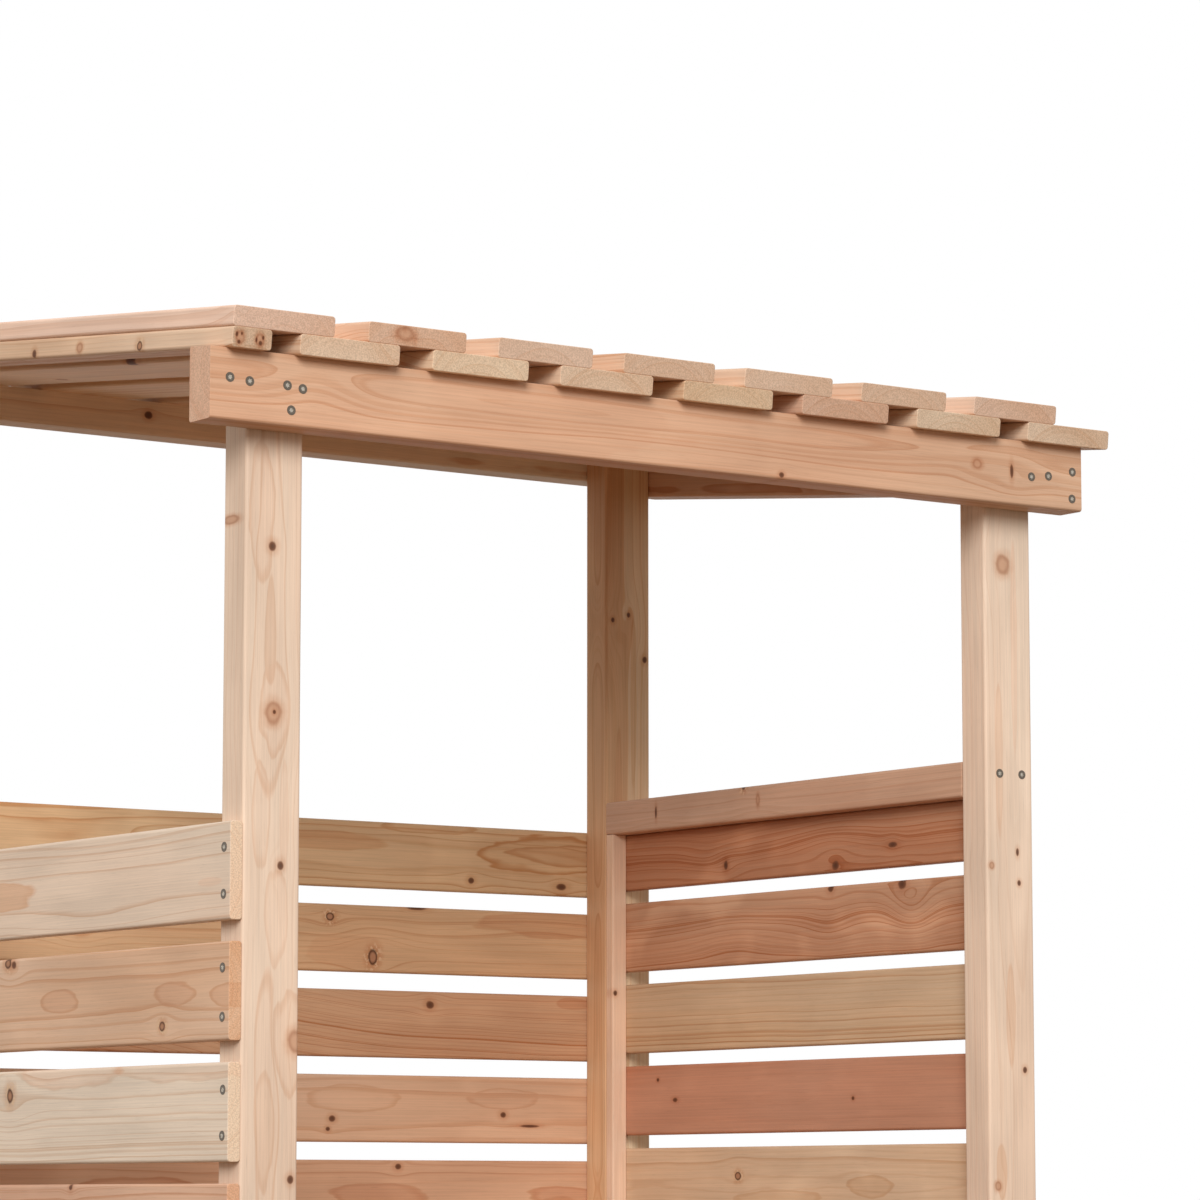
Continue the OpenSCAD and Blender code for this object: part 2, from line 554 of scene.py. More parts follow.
@dataclass(frozen=True)
class WoodFinish:
    """Solid softwood: rings round a pith, warped along the grain and pushed aside by knots.

    A noise is a pitch and octaves, and a band is where a change starts and stops, and its two levels.

    Attributes:
        along: The axis that its boards run along.
        face: The axis through their thickness.
        shades: Its colour, from sapwood to heartwood.
        late_tint: What late wood does to the colour; so for end grain, painted sheen and round a knot.
        warm_tint: What a board's warmth adds to each channel.
        knot_depth: How far a knot runs through the board in mm, if it doesn't say.
        parting: How far a knot pushes the grain aside, along and across it, in knot radii.
        bend: How far the grain wanders, and ripple how far it ripples.
        year_pitch: How fast the rings' widths change from ring to ring, and year_swing how far.
        year_seeds: What a board's warmth adds to the seeds of its rings.
        late_rise: Where in a ring the late wood comes, and late_fall where it goes.
        late_levels: How dark it is from ring to ring, and end_late how dark in end grain.
        heart_red: How much redder heartwood is; so for wandering grain and from ring to ring.
        wobble: How uneven a patch's outline is, and its pitch along and across the grain.
        patch_fill: Where a patch's tint comes, in patch sizes; so for its outline, which comes and goes.
        sheen_power: How much more painted sheen, pale patches for the shimmer of the figure, there is in wild
            grain.
        ragged: Unevenness of the knots' outlines.
        grit: Speckle of the end grain.
    """

    name: str
    along: Axis
    face: Axis
    knots: tuple[Knot, ...] = ()
    swells: tuple[Swell, ...] = ()
    patches: tuple[Patch, ...] = ()
    shades: tuple[tuple[float, Colour], ...] = (
        (0.0, (0.750, 0.617, 0.487)),
        (0.25, (0.765, 0.562, 0.420)),
        (0.5, (0.695, 0.440, 0.283)),
        (0.75, (0.632, 0.351, 0.213)),
        (1.0, (0.507, 0.195, 0.091)),
    )
    late_tint: Colour = (0.74, 0.53, 0.38)
    end_tint: Colour = (0.84, 0.84, 0.84)
    # Painted sheen: how the pale patches that stand for the wood's shimmer lighten it.
    sheen_tint: Colour = (1.30, 1.40, 1.45)
    halo_tint: Colour = (0.80, 0.60, 0.48)
    warm_tint: Colour = (0.0, 0.045, -0.13)
    resin: Colour = (0.74, 0.52, 0.33)
    knot_depth: float = 40.0
    parting: tuple[float, float] = (6.0, 3.4)
    bend: float = 15.0 * MM
    ripple: float = 2.0 * MM
    bend_noise: Noise = ((1.9, 7.0, 7.0), 1.5)
    ripple_noise: Noise = ((9.0, 30.0, 30.0), 2.0)
    year_pitch: float = 0.37
    year_swing: float = 1.3
    year_seeds: tuple[float, float] = (9.1, 31.7)
    late_rise: Band = (0.5, 0.93)
    late_fall: Band = (1.0, 0.93)
    late_levels: Band = (0.0, 1.0, 0.30, 1.15)
    end_late: float = 0.45
    heart_edge: float = 0.8 * MM
    heart_red: float = 0.30
    bend_red: float = 0.45
    year_red: float = 0.06
    wobble: Band = (0.8, 14.0, 60.0)
    wobble_detail: float = 2.5
    patch_fill: Band = (1.03, 0.9)
    patch_rise: Band = (0.72, 0.98)
    patch_fall: Band = (1.06, 0.98)
    # Where the painted sheen's pale patches lie.
    sheen: Mottle = Mottle((11.0, 15.0, 15.0), 1.0, (0.54, 0.74, 0.0, 0.8))
    sheen_power: float = 3.0
    ragged: Mottle = Mottle((70.0, 70.0, 70.0), 2.0, (0.2, 0.8, 0.88, 1.12))
    crumbs: Mottle = Mottle((210.0, 210.0, 210.0), 3.0, (0.51, 0.60, 0.0, 0.75))
    fleck: Mottle = Mottle((42.0, 1500.0, 1500.0), 1.0, (0.62, 0.78, 1.0, 0.88))
    cloud: Mottle = Mottle((5.0, 24.0, 24.0), 2.0, (0.25, 0.75, 0.92, 1.06))
    grit: Mottle = Mottle((640.0, 640.0, 640.0), 2.0, (0.3, 0.7, 0.84, 1.12))
    fibre_noise: Noise = ((7.0, 620.0, 620.0), 3.0)
    fibre_shade: Band = (0.25, 0.75, 0.93, 1.05)
    roughness: Band = (0.2, 0.8, 0.50, 0.66)
    relief: float = 0.35
    relief_height: float = 0.25 * MM
    specular: float = 0.12

    @property
    def across(self) -> Axis:
        """The axis across the grain, in the boards' face."""
        return self.along.third(self.face)

    def material(self) -> Material:
        """Builds the finish."""
        return WoodSheet(self).write()


class WoodSheet(NodeSheet):
    """Writes the nodes of a wood finish, which reads the boards' grain, tone, ring and end_grain."""

    def __init__(self, look: WoodFinish) -> None:
        """Starts the finish's material.

        Args:
            look: The finish.
        """
        super().__init__(bpy.data.materials.new(look.name))
        self.look = look
        self.point = self.add("ShaderNodeTexCoord").outputs["Object"]
        self.grain = self.attribute("grain").outputs["Vector"]
        self.end = self.attribute("end_grain").outputs["Fac"]
        tone = self.attribute("tone")
        self.red, self.wave, self.contrast = self.split("ShaderNodeSeparateColor", tone.outputs["Color"])
        self.light = tone.outputs["Alpha"]
        ring = self.attribute("ring").outputs["Vector"]
        self.width, self.heart_radius, self.warm = self.split("ShaderNodeSeparateXYZ", ring)

    def way(self, mark: Knot | Swell | Patch, along: float, across: float, deep: float = 0.0) -> NodeSocket:
        """Measures the way from a mark, in lengths of its own.

        Args:
            mark: The mark.
            along: Its length along the grain in mm.
            across: Its length across the grain.
            deep: Its length through the board, or zero where that doesn't count.

        Returns:
            The way.
        """
        scale = self.look.along.unit / (along * MM) + self.look.across.unit / (across * MM)
        if deep:
            scale += self.look.face.unit / (deep * MM)
        return self.vector("MULTIPLY", self.vector("SUBTRACT", self.point, site(mark.place)), scale)

    def flow(self) -> tuple[Value, dict[KnotKind, NodeSocket]]:
        """Parts the grain round the knots.

        Returns:
            How far they push it aside, and each kind's distance in knot radii.
        """
        push: Value = 0.0
        nearest: dict[KnotKind, NodeSocket] = {}
        for knot in self.look.knots:
            spread = self.hump(self.way(knot, *(knot.radius * reach for reach in self.look.parting)))
            away = self.vector("SUBTRACT", self.point, site(knot.place))
            side = self.vector("DOT_PRODUCT", away, self.look.across.unit)
            push = self.plus(push, self.times(side, spread))
            depth = knot.depth or self.look.knot_depth
            distance = self.vector("LENGTH", self.way(knot, knot.radius * knot.oval, knot.radius, depth))
            known = nearest.get(knot.kind)
            nearest[knot.kind] = distance if known is None else self.sum("MINIMUM", known, distance)
        return push, nearest

    def bulge(self) -> Value:
        """Adds the swells up.

        Returns:
            What they add to the distance from the pith.
        """
        total: Value = 0.0
        for swell in self.look.swells:
            hump = self.hump(self.way(swell, swell.along, swell.across))
            total = self.plus(total, self.times(hump, swell.rise * MM))
        return total

    def opened(self) -> tuple[Value, Value]:
        """Draws the patches.

        Returns:
            What they add to the redness, and how dark their outlines are.
        """
        tint: Value = 0.0
        line: Value = 0.0
        look = self.look
        reach, along, across = look.wobble
        pitch = look.along.unit * along + (look.across.unit + look.face.unit) * across
        wobble = self.times(self.swing(self.point, pitch, look.wobble_detail), reach)
        for patch in look.patches:
            away = self.plus(self.vector("LENGTH", self.way(patch, patch.along, patch.across)), wobble)
            tint = self.plus(tint, self.band(away, *look.patch_fill, 0.0, patch.tint))
            fall = self.band(away, *look.patch_fall, 0.0, patch.line)
            line = self.most(line, self.times(self.band(away, *look.patch_rise), fall))
        return tint, line

    def pith_distance(self, wander: NodeSocket, push: Value) -> NodeSocket:
        """Warps the rings.

        Args:
            wander: How the grain wanders.
            push: How far the knots push it aside.

        Returns:
            The distance from the pith in the warped rings.
        """
        look = self.look
        shift = self.add("ShaderNodeCombineXYZ")
        self.feed(shift.inputs[1], push)
        parted = self.vector("SUBTRACT", self.grain, shift.outputs[0])
        straight = self.vector("LENGTH", self.vector("MULTIPLY", parted, (0.0, 1.0, 1.0)))
        ripple = self.swing(self.grain, *look.ripple_noise)
        bent = self.plus(self.times(wander, 2.0 * look.bend), self.times(ripple, 2.0 * look.ripple))
        return self.plus(straight, self.times(bent, self.wave), self.bulge())

    def years(self, radius: NodeSocket) -> tuple[NodeSocket, NodeSocket]:
        """Draws the rings.

        Args:
            radius: The distance from the pith.

        Returns:
            How dark the late wood is, and the ring's random number.
        """
        look = self.look
        drift_seed, luck_seed = look.year_seeds
        count = self.sum("DIVIDE", radius, self.width)
        drift = self.add("ShaderNodeTexNoise", noise_dimensions="1D")
        at = self.plus(self.times(count, look.year_pitch), self.times(self.warm, drift_seed))
        self.feed(drift.inputs["W"], at)
        drift.inputs["Detail"].default_value = 1.0
        count = self.plus(count, self.times(drift.outputs["Fac"], look.year_swing))
        year = self.sum("FLOOR", count)
        phase = self.minus(count, year)
        luck = self.chance(self.plus(year, self.times(self.warm, luck_seed)))
        rise, fall = self.band(phase, *look.late_rise), self.band(phase, *look.late_fall)
        return self.times(rise, fall, self.band(luck, *look.late_levels), self.contrast), luck

    def clear_wood(self, wander: NodeSocket, radius: NodeSocket) -> NodeSocket:
        """Colours the wood between the knots, before its fibres.

        Args:
            wander: How the grain wanders.
            radius: The distance from the pith.

        Returns:
            The colour.
        """
        look = self.look
        late, luck = self.years(radius)
        tint, line = self.opened()
        flat = self.band(self.end, 0.0, 1.0, 1.0, look.end_late)
        late = self.sum("MULTIPLY", self.most(late, line), flat, clamp=True)
        outside = self.plus(self.heart_radius, look.heart_edge)
        inside = self.minus(self.heart_radius, look.heart_edge)
        heart = self.band(radius, outside, inside, 0.0, look.heart_red)
        lucky = self.times(self.minus(luck, 0.5), look.year_red)
        redness = self.plus(self.red, self.times(wander, look.bend_red), heart, tint, lucky)
        hue = self.add("ShaderNodeCombineXYZ")
        for socket, share in zip(hue.inputs, look.warm_tint):
            self.feed(socket, self.plus(1.0, self.times(self.warm, share)))
        colour = self.vector("MULTIPLY", self.ramp(redness, look.shades), hue.outputs[0])
        colour = self.tinted(late, colour, look.late_tint)
        # Painted sheen: pale patches where the grain is wild, standing for the shimmer of the figure.
        wild = self.sum("POWER", self.wave, look.sheen_power)
        colour = self.tinted(self.times(self.mottle(self.grain, look.sheen), wild), colour, look.sheen_tint)
        return self.tinted(self.end, colour, look.end_tint)

    def knotted(self, colour: NodeSocket, nearest: dict[KnotKind, NodeSocket]) -> NodeSocket:
        """Colours the knots.

        Args:
            colour: The clear wood's colour.
            nearest: Each kind of knot's distance in knot radii.

        Returns:
            The colour with the knots in it.
        """
        ragged, crumbs = (self.mottle(self.point, mottle) for mottle in (self.look.ragged, self.look.crumbs))
        for kind, look in KNOT_LOOKS.items():
            if kind not in nearest:
                continue
            reach = self.times(nearest[kind], ragged)
            core = self.mix(self.band(reach, look.rim_start, look.rim_full), look.heart, look.rim)
            halo = self.band(reach, look.halo_reach, look.halo_full, 0.0, look.halo)
            colour = self.tinted(halo, colour, self.look.halo_tint)
            if kind is RING:
                near = self.band(reach, look.halo_reach, look.crumbs_full)
                colour = self.mix(self.times(near, crumbs), colour, self.look.resin)
            colour = self.mix(self.band(reach, look.edge, look.edge_full, 0.0, look.cover), colour, core)
        return colour

    def write(self) -> Material:
        """Writes the whole material.

        Returns:
            The material.
        """
        look = self.look
        push, nearest = self.flow()
        wander = self.swing(self.grain, *look.bend_noise)
        colour = self.clear_wood(wander, self.pith_distance(wander, push))
        fibre = self.noise(self.grain, *look.fibre_noise)
        mottles = (self.mottle(self.grain, mottle) for mottle in (look.fleck, look.cloud))
        streak = self.times(self.band(fibre, *look.fibre_shade), *mottles)
        grit = self.mottle(self.point, look.grit)
        shade = self.plus(streak, self.times(self.end, self.minus(grit, streak)))
        colour = self.vector("SCALE", colour, self.times(shade, self.light))

        shader = self.add("ShaderNodeBsdfPrincipled")
        self.feed(shader.inputs["Base Color"], self.knotted(colour, nearest))
        self.feed(shader.inputs["Roughness"], self.band(fibre, *look.roughness))
        shader.inputs["Specular IOR Level"].default_value = look.specular
        bump = self.add("ShaderNodeBump")
        bump.inputs["Strength"].default_value = look.relief
        bump.inputs["Distance"].default_value = look.relief_height
        self.feed(bump.inputs["Height"], fibre)
        self.feed(shader.inputs["Normal"], bump.outputs["Normal"])
        return self.surface(shader.outputs["BSDF"])


@dataclass(frozen=True)
class SteelFinish:
    """Plated screw steel, darker on the rim (partly painted shade) and lighter in the recess (a painted
    highlight).
    """

    name: str = "screw steel"
    # Painted highlight: the recess's colour, lighter to stand for the light it catches.
    recess_glint: Colour = (0.52, 0.47, 0.40)
    # The rim's colour: the plated steel's own, darkened as painted shade.
    rim_steel_and_shade: Colour = (0.15, 0.125, 0.10)
    scuff_noise: Noise = ((900.0, 900.0, 900.0), 3.0)
    # How scuffs thin out the painted highlight in the recess.
    glint_scuffs: Band = (0.35, 0.75, 1.0, 0.5)
    roughness: Band = (0.2, 0.8, 0.32, 0.5)

    def material(self) -> Material:
        """Builds the finish.

        Returns:
            The material, which reads the heads' recess attribute.
        """
        sheet = NodeSheet(bpy.data.materials.new(self.name))
        scuff = sheet.noise(sheet.add("ShaderNodeTexCoord").outputs["Object"], *self.scuff_noise)
        # Painted highlight in the recess, thinned by scuffs; the rest of the head keeps the shaded rim
        # colour.
        painted_glint = sheet.times(sheet.attribute("recess").outputs["Fac"], sheet.band(scuff, *self.glint_scuffs))
        shader = sheet.add("ShaderNodeBsdfPrincipled")
        sheet.feed(shader.inputs["Base Color"], sheet.mix(painted_glint, self.rim_steel_and_shade, self.recess_glint))
        sheet.feed(shader.inputs["Roughness"], sheet.band(scuff, *self.roughness))
        shader.inputs["Metallic"].default_value = 1.0
        return sheet.surface(shader.outputs["BSDF"])


@dataclass
class Board:
    """One planed timber with rounded arrises, boxed in the frame's axes.

    Its shift is its place along the tree, and a face that is squarer to the grain than the cosine end_slant
    shows end grain.
    """

    low: Vector
    high: Vector
    along: Axis
    face: Axis
    tone: Tone
    shift: float
    arris: float = 3.5 * MM
    arris_facets: int = 4
    end_ease: float = 0.9 * MM
    end_facets: int = 2
    end_slant: float = 0.75

    def shape(self, cut: tuple[Vector, Vector] | None = None) -> BMesh:
        """Models the board.

        Args:
            cut: A point and a normal of the plane that ends the board, if it has one.

        Returns:
            The board's mesh, with the layers that a wood finish reads.
        """
        mesh = bmesh.new()
        bmesh.ops.create_cube(mesh, size=1.0)
        bmesh.ops.scale(mesh, vec=self.high - self.low, verts=mesh.verts)
        bmesh.ops.translate(mesh, vec=(self.low + self.high) / 2, verts=mesh.verts)
        ends = [{vert.co[self.along.value] for vert in edge.verts} for edge in mesh.edges]
        long_edges = [edge for edge, heights in zip(mesh.edges, ends) if len(heights) > 1]
        self.round(mesh, long_edges, self.arris, self.arris_facets)
        if cut:
            everything = [*mesh.verts, *mesh.edges, *mesh.faces]
            bmesh.ops.bisect_plane(mesh, geom=everything, plane_co=cut[0], plane_no=cut[1], clear_outer=True)
            bmesh.ops.holes_fill(mesh, edges=[edge for edge in mesh.edges if edge.is_boundary], sides=0)
        mesh.normal_update()
        rims = [edge for edge in mesh.edges if sum(self.is_end(side.normal) for side in edge.link_faces) == 1]
        self.round(mesh, rims, self.end_ease, self.end_facets)
        mesh.normal_update()
        self.mark(mesh)
        return mesh

    def is_end(self, normal: Vector) -> bool:
        """Whether a face with this normal cuts across the grain."""
        return abs(normal.dot(self.along.unit)) > self.end_slant

    @staticmethod
    def round(mesh: BMesh, edges: list[bmesh.types.BMEdge], radius: float, segments: int) -> None:
        """Rounds edges.

        Args:
            mesh: The board's mesh.
            edges: Its edges.
            radius: The round's radius.
            segments: Its facets.
        """
        bmesh.ops.bevel(
            mesh, geom=edges, offset=radius, offset_type="OFFSET", segments=segments,
            profile=0.5, affect="EDGES", material=-1, clamp_overlap=True,
        )

    def mark(self, mesh: BMesh) -> None:
        """Writes where each point lies in the tree, and the board's tone.

        Args:
            mesh: The board's mesh.
        """
        mesh.verts.layers.float_vector.new("grain")
        mesh.verts.layers.float_vector.new("ring")
        mesh.verts.layers.float_color.new("tone")
        mesh.faces.layers.float.new("end_grain")
        grain, ring = (mesh.verts.layers.float_vector[name] for name in ("grain", "ring"))
        tone_layer = mesh.verts.layers.float_color["tone"]
        end_layer = mesh.faces.layers.float["end_grain"]
        tone, middle = self.tone, (self.low + self.high) / 2
        across = self.along.third(self.face)
        for vert in mesh.verts:
            away = vert.co - middle
            vert[grain] = (
                away.dot(self.along.unit) + self.shift,
                away.dot(across.unit) + tone.offset * MM,
                away.dot(self.face.unit) + tone.depth * MM,
            )
            vert[ring] = (tone.ring * MM, tone.heart * MM, tone.warm)
            vert[tone_layer] = (tone.red, tone.wave, tone.contrast, tone.light)
        for side in mesh.faces:
            side[end_layer] = float(self.is_end(side.normal))


class TimberYard:
    """Cuts boards from anywhere along a pile of trees, and makes them into pieces of the store."""

    pile: float = 40.0

    def __init__(self, seed: int) -> None:
        """Seeds the boards' places in the trees."""
        self.chance = random.Random(seed)
        self.materials: dict[str, Material] = {}

    def cut(
        self, low: Vector, high: Vector, finish: WoodFinish, tone: Tone, **settings: Axis | float,
    ) -> Board:
        """Takes a board from anywhere in the trees; the settings are what isn't as usual."""
        shift = self.chance.uniform(-self.pile, self.pile)
        return replace(Board(low, high, finish.along, finish.face, tone, shift), **settings)

    def timber(
        self, node: str, finish: WoodFinish, tone: Tone, slot: Slot,
        under_roof: bool = False, **settings: Axis | float,
    ) -> None:
        """Makes a piece of one board that fills its CAD node.

        Args:
            node: The CAD node.
            finish: Its finish.
            tone: Its look.
            slot: The record's material slot.
            under_roof: Whether its top is cut to the roof's slope.
            settings: What else of the board isn't as usual.
        """
        low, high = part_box(node)
        board = self.cut(low, high, finish, tone, **settings)
        self.piece(node, [board.shape((high, ROOF_UP) if under_roof else None)], finish, slot)

    def finish(self, finish: WoodFinish | SteelFinish) -> Material:
        """Makes a finish's material once.

        Args:
            finish: The finish.

        Returns:
            The material.
        """
        if finish.name not in self.materials:
            self.materials[finish.name] = finish.material()
        return self.materials[finish.name]

    def piece(self, node: str, boards: list[BMesh], finish: WoodFinish, slot: Slot) -> Object:
        """Joins boards in one piece that stands for a CAD node.

        Args:
            node: The CAD node.
            boards: The boards' meshes, which are used up.
            finish: Their finish.
            slot: The record's material slot.

        Returns:
            The piece.
        """
        whole = boards[0]
        spare = bpy.data.meshes.new("spare board")
        for board in boards[1:]:
            board.to_mesh(spare)
            board.free()
            whole.from_mesh(spare)
        bpy.data.meshes.remove(spare)
        piece = self.place(f"{node}_wood", whole, finish, slot)
        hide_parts(node)
        return piece

    def place(self, name: str, mesh: BMesh, finish: WoodFinish | SteelFinish, slot: Slot) -> Object:
        """Makes a piece that rides on the store's body.

        Args:
            name: The piece's name.
            mesh: Its mesh, which is used up.
            finish: Its finish.
            slot: The record's material slot; not used.

        Returns:
            The piece.
        """
        data = settle(name, mesh)
        data.materials.append(self.finish(finish))
        piece = stand(name, data)
        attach(piece, ROOT)
        LOG.info("%s: %d faces", name, len(data.polygons))
        return piece


class Assembly(ABC):
    """A part of the store that is made in the yard."""

    @abstractmethod
    def build(self, yard: TimberYard) -> None:
        """Models the assembly's pieces.

        Args:
            yard: Where the timber and the finishes come from.
        """


CREAM = Tone(red=0.06, wave=0.55, contrast=0.55, ring=7.5)
PINK_CREAM = Tone(red=0.23, wave=0.5, contrast=0.40, ring=8.0)
TAN = Tone(red=0.46, wave=0.6, contrast=0.65, ring=6.0)
SALMON = Tone(red=0.60, wave=0.6, contrast=0.60, ring=6.0, warm=-0.3)
RED = Tone(red=0.92, wave=0.95, contrast=0.85, ring=3.8)


@dataclass
class Posts(Assembly):
    """The four posts, cut to the roof's slope at the top."""

    tones: dict[str, Tone] = field(default_factory=lambda: {
        "post_front_left": replace(PINK_CREAM, red=0.17, light=1.03, offset=6.0, depth=48.0, contrast=0.33),
        "post_front_right": replace(
            PINK_CREAM, red=0.19, light=1.08, offset=-14.0, depth=62.0, contrast=0.22,
        ),
        "post_back_left": replace(TAN, offset=10.0, depth=60.0),
        # Paler and lighter than its wood, partly as painted light on its front face, which lies in the roof's
        # shade.
        "post_back_right": replace(
            TAN, red=0.34, warm=0.6, light=1.1, offset=45.0, depth=4.0, heart=42.0, contrast=0.4,
        ),
    })
    finish: WoodFinish = WoodFinish(
        "post timber", Axis.Z, Axis.Y, knot_depth=16.0,
        knots=on_face(
            Knot, Axis.Y, 0,
            (33, 1429, 4.0), (36, 1253, 9.0, PALE), (37, 1254, 1.7), (46, 1093, 3.5), (67, 910, 9.0, PALE),
            (61, 767, 3.5), (22, 420, 7.0, PALE), (1034, 1486, 9.0, PALE), (1013, 1132, 3.2, PALE),
            (1052, 1149, 2.0, SPOT, 2.0), (1054, 1113, 2.4), (1060, 896, 2.6), (1018, 762, 4.0, PALE),
            (1048, 505, 6.0, PALE),
        ) + on_face(
            Knot, Axis.Y, 765,
            (1017, 1495, 2.5), (1068, 1446, 3.2), (1042, 1503, 2.5),
        ) + (
            Knot((0, 30, 1458), 3.5, PALE, depth=15.0),
        ),
        swells=on_face(
            Swell, Axis.Y, 0,
            (36, 1330, 170, 24, -9.0), (30, 1060, 130, 22, 8.0), (40, 880, 150, 22, -10.0),
            (1040, 1320, 200, 22, -8.0), (1035, 860, 160, 20, 8.0),
        ),
        patches=on_face(
            Patch, Axis.Y, 0,
            (1050, 1390, 120, 5, 0.16, 0.1), (1026, 1260, 90, 6, 0.12, 0.2), (1040, 960, 60, 7, 0.14, 0.2),
            (1024, 780, 34, 8, 0.18, 0.1), (20, 1462, 74, 15, 0.06, 0.34), (50, 1150, 60, 6, 0.08, 0.15),
            (37, 1260, 50, 19, 0.05, 0.34), (21, 1146, 56, 11, 0.05, 0.3), (42, 1040, 50, 14, 0.05, 0.26),
            (58, 905, 54, 20, 0.06, 0.34), (28, 820, 62, 12, 0.06, 0.26),
        ),
    )

    def build(self, yard: TimberYard) -> None:
        """Models the posts."""
        for node, tone in self.tones.items():
            yard.timber(node, self.finish, tone, Slot.POST, under_roof=True)


@dataclass
class Framing(Assembly):
    """The level beams, the sloping rafter, the right wall's rail and the floor's rails."""

    beam_tone: Tone = replace(
        SALMON, red=0.54, warm=-0.1, depth=46.0, offset=-12.0, contrast=0.52, wave=0.55, light=0.99,
    )
    back_tone: Tone = replace(CREAM, red=0.02, light=1.18, depth=70.0, offset=14.0)
    rafter_tone: Tone = replace(TAN, red=0.62, depth=60.0, offset=20.0)
    rail_tone: Tone = replace(SALMON, red=0.50, light=0.9, depth=60.0, contrast=0.3)
    floor_tone: Tone = replace(TAN, red=0.42)
    beam_finish: WoodFinish = WoodFinish(
        "beam timber", Axis.X, Axis.Y, end_tint=(1.02, 1.06, 1.12),
        knots=(
            Knot((1014, -42, 1590), 7.0, oval=0.3), Knot((676, -42, 1556), 2.5),
            Knot((962, -42, 1594), 5.0, PALE), Knot((346, 810, 1707), 4.0), Knot((520, 810, 1694), 4.0),
            Knot((190, 830, 80), 5.0), Knot((640, 0, 84), 6.0, PALE),
        ),
        swells=(
            Swell((60, 0, 1592), 55, 24, 11.0), Swell((360, 0, 1600), 200, 16, -8.0),
            Swell((480, 0, 1575), 160, 12, 6.0), Swell((720, 0, 1600), 150, 18, -7.0),
            Swell((950, 0, 1585), 110, 20, 8.0),
        ),
        patches=(Patch((190, 0, 1590), 330, 90, 0.07, 0.0),),
    )
    rafter_finish: WoodFinish = WoodFinish(
        "rafter timber", Axis.Y, Axis.X,
        knots=(
            Knot((1006, 655, 1236), 7.0, oval=0.25, depth=5.0), Knot((1006, 440, 1238), 7.0, PALE, 0.45, 5.0),
            Knot((1040, 470, 1256), 5.0, RING), Knot((1100, 420, 1640), 5.0),
        ),
    )

    def build(self, yard: TimberYard) -> None:
        """Models the framing.

        Args:
            yard: Where the timber and the finishes come from.
        """
        for node, tone in zip(BEAMS, (self.beam_tone, self.back_tone)):
            yard.timber(node, self.beam_finish, tone, Slot.BEAM, under_roof=True)
        yard.piece("right_rafter", [self.rafter(yard, "right_rafter")], self.rafter_finish, Slot.BEAM)
        yard.timber("right_wall_rail", self.rafter_finish, self.rail_tone, Slot.BEAM, face=Axis.Z)
        for node in FLOOR_RAILS:
            yard.timber(node, self.beam_finish, self.floor_tone, Slot.BEAM)

    def rafter(self, yard: TimberYard, node: str) -> BMesh:
        """Models a rafter, with plumb ends between the beams.

        Args:
            yard: Where the timber comes from.
            node: The rafter's CAD node.

        Returns:
            The rafter's mesh.
        """
        low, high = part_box(node)
        climb = (high.y - low.y) * math.tan(ROOF_SLOPE)
        level_high = high - Vector((0.0, 0.0, climb))
        mesh = yard.cut(low, level_high, self.rafter_finish, self.rafter_tone).shape()
        lean = Matrix.Identity(4)
        lean[2][1] = math.tan(ROOF_SLOPE)
        bmesh.ops.transform(mesh, matrix=lean, space=Matrix.Translation(-low), verts=mesh.verts)
        return mesh


@dataclass
class SlatWall(Assembly):
    """A wall of level slats.

    Attributes:
        node: The CAD node.
        gap: The space between slats.
        tones: The slats' looks, from the top.
        finish: Their finish.
        first_height: The top slat's height, if it is ripped narrower.
    """

    node: str
    gap: float
    tones: tuple[Tone, ...]
    finish: WoodFinish
    first_height: float = 0.0

    def slats(self) -> list[tuple[Vector, Vector]]:
        """Lays the slats out.

        Returns:
            Their lowest and highest corners, from the top.
        """
        low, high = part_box(self.node)
        others = len(self.tones) - (1 if self.first_height else 0)
        used = self.first_height + (len(self.tones) - 1) * self.gap
        height = (high.z - low.z - used) / others
        boxes, top = [], high.z
        for index in range(len(self.tones)):
            tall = self.first_height if self.first_height and index == 0 else height
            boxes.append((Vector((low.x, low.y, top - tall)), Vector((high.x, high.y, top))))
            top -= tall + self.gap
        return boxes

    def build(self, yard: TimberYard) -> None:
        """Models the slats.

        Args:
            yard: Where the timber and the finishes come from.
        """
        slats = zip(self.slats(), self.tones)
        boards = [yard.cut(*box, self.finish, tone).shape() for box, tone in slats]
        yard.piece(self.node, boards, self.finish, Slot.SLAT)


